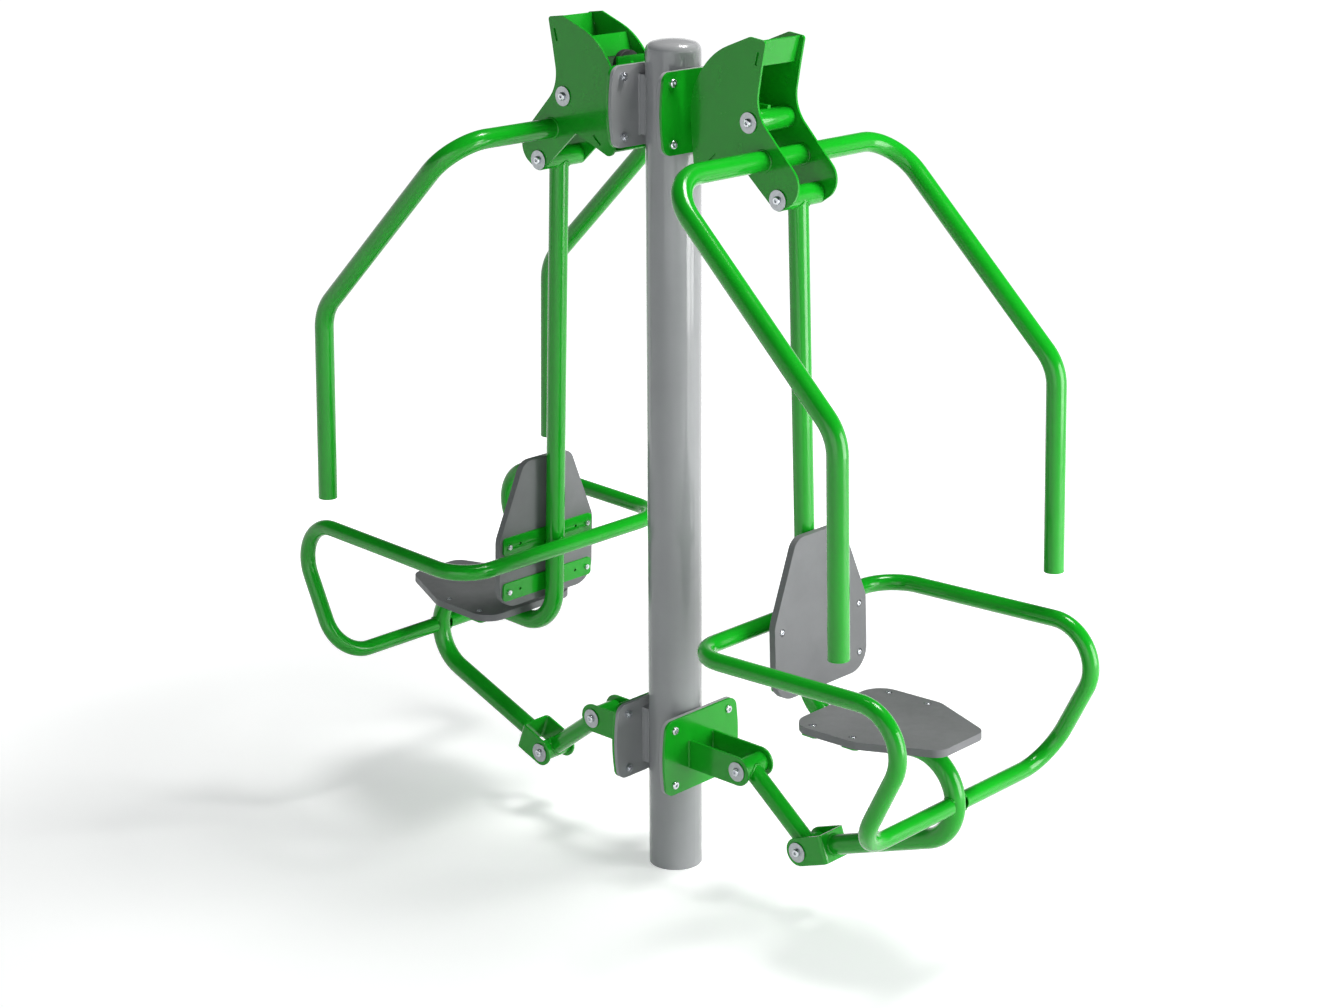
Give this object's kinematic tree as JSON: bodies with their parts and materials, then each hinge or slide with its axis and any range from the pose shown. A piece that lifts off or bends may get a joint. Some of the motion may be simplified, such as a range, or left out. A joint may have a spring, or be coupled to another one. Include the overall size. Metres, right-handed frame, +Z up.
{
  "type": "outdoor chest press machine",
  "caption": "Two-station outdoor chest press on one post: pushing a hanging handle away from the backrest turns a rocker that lifts the user's own seat on a linked frame.",
  "frame": {"origin": "centre of the post's foot on the ground", "axes": "+Z up along the post, +X from the post towards the right station, +Y across the stations"},
  "size_m": [2.1146, 0.8742, 2.2188],
  "materials": {
    "post_grey": "gloss powder coat",
    "paint_green": "gloss powder coat",
    "plate_green": "gloss powder coat",
    "board_plastic": "fine grain",
    "zinc_steel": "zinc plated",
    "satin_steel": "satin",
    "bearing_steel": "ground",
    "rubber": "matte"
  },
  "bodies": {
    "stand": {"post": "post_grey", "post_cap": "post_grey", "flange_upper_right": "post_grey", "flange_upper_left": "post_grey", "flange_lower_right": "post_grey", "flange_lower_left": "post_grey", "bracket_upper_right": "paint_green", "bracket_upper_left": "paint_green", "bracket_lower_right": "paint_green", "bracket_lower_left": "paint_green", "flange_bolts": "zinc_steel", "flange_nuts": "zinc_steel", "stop_buffers": "rubber", "upper_bearings": "bearing_steel", "lower_axles": "bearing_steel", "lower_pivot_caps": "satin_steel", "lower_pivot_screws": "zinc_steel"},
    "rocker_arm_right": {"rocker_right": "plate_green", "handle_right": "paint_green", "grip_caps_right": "paint_green", "rocker_axles_right": "bearing_steel", "rocker_pivot_caps_right": "satin_steel", "rocker_pivot_screws_right": "zinc_steel"},
    "seat_frame_right": {"spine_right": "paint_green", "spine_head_right": "paint_green", "armrest_right": "paint_green", "clevis_right": "paint_green", "board_strips_right": "paint_green", "backrest_right": "board_plastic", "seat_right": "board_plastic", "board_bolts_right": "zinc_steel", "board_nuts_right": "zinc_steel", "spine_bearings_right": "bearing_steel", "clevis_axle_right": "bearing_steel", "clevis_caps_right": "satin_steel", "clevis_screws_right": "zinc_steel"},
    "link_arm_right": {"link_right": "paint_green", "link_bearings_right": "bearing_steel"},
    "rocker_arm_left": {"rocker_left": "plate_green", "handle_left": "paint_green", "grip_caps_left": "paint_green", "rocker_axles_left": "bearing_steel", "rocker_pivot_caps_left": "satin_steel", "rocker_pivot_screws_left": "zinc_steel"},
    "seat_frame_left": {"spine_left": "paint_green", "spine_head_left": "paint_green", "armrest_left": "paint_green", "clevis_left": "paint_green", "board_strips_left": "paint_green", "backrest_left": "board_plastic", "seat_left": "board_plastic", "board_bolts_left": "zinc_steel", "board_nuts_left": "zinc_steel", "spine_bearings_left": "bearing_steel", "clevis_axle_left": "bearing_steel", "clevis_caps_left": "satin_steel", "clevis_screws_left": "zinc_steel"},
    "link_arm_left": {"link_left": "paint_green", "link_bearings_left": "bearing_steel"}
  },
  "joints": [
    {"name": "press_right", "type": "hinge", "parent": "stand", "child": "rocker_arm_right", "pos_m": [0.3147, 0, 2.015], "axis": [0, -1, 0], "range_deg": [0, 22]},
    {"name": "seat_swing_right", "type": "hinge", "parent": "rocker_arm_right", "child": "seat_frame_right", "pos_m": [0.4084, 0, 1.8405], "axis": [0, -1, 0], "range_deg": [-23.1, 0]},
    {"name": "link_swing_right", "type": "hinge", "parent": "stand", "child": "link_arm_right", "pos_m": [0.2614, 0, 0.3408], "axis": [0, -1, 0], "range_deg": [0, 11.9]},
    {"name": "press_left", "type": "hinge", "parent": "stand", "child": "rocker_arm_left", "pos_m": [-0.3147, 0, 2.015], "axis": [0, 1, 0], "range_deg": [0, 22]},
    {"name": "seat_swing_left", "type": "hinge", "parent": "rocker_arm_left", "child": "seat_frame_left", "pos_m": [-0.4084, 0, 1.8405], "axis": [0, 1, 0], "range_deg": [-23.1, 0]},
    {"name": "link_swing_left", "type": "hinge", "parent": "stand", "child": "link_arm_left", "pos_m": [-0.2614, 0, 0.3408], "axis": [0, 1, 0], "range_deg": [0, 11.9]}
  ],
  "couplings": [
    {"joint": "seat_swing_right", "follows": "press_right", "ratio": -1.0493},
    {"joint": "link_swing_right", "follows": "press_right", "ratio": 0.5399},
    {"joint": "seat_swing_left", "follows": "press_left", "ratio": -1.0493},
    {"joint": "link_swing_left", "follows": "press_left", "ratio": 0.5399}
  ]
}
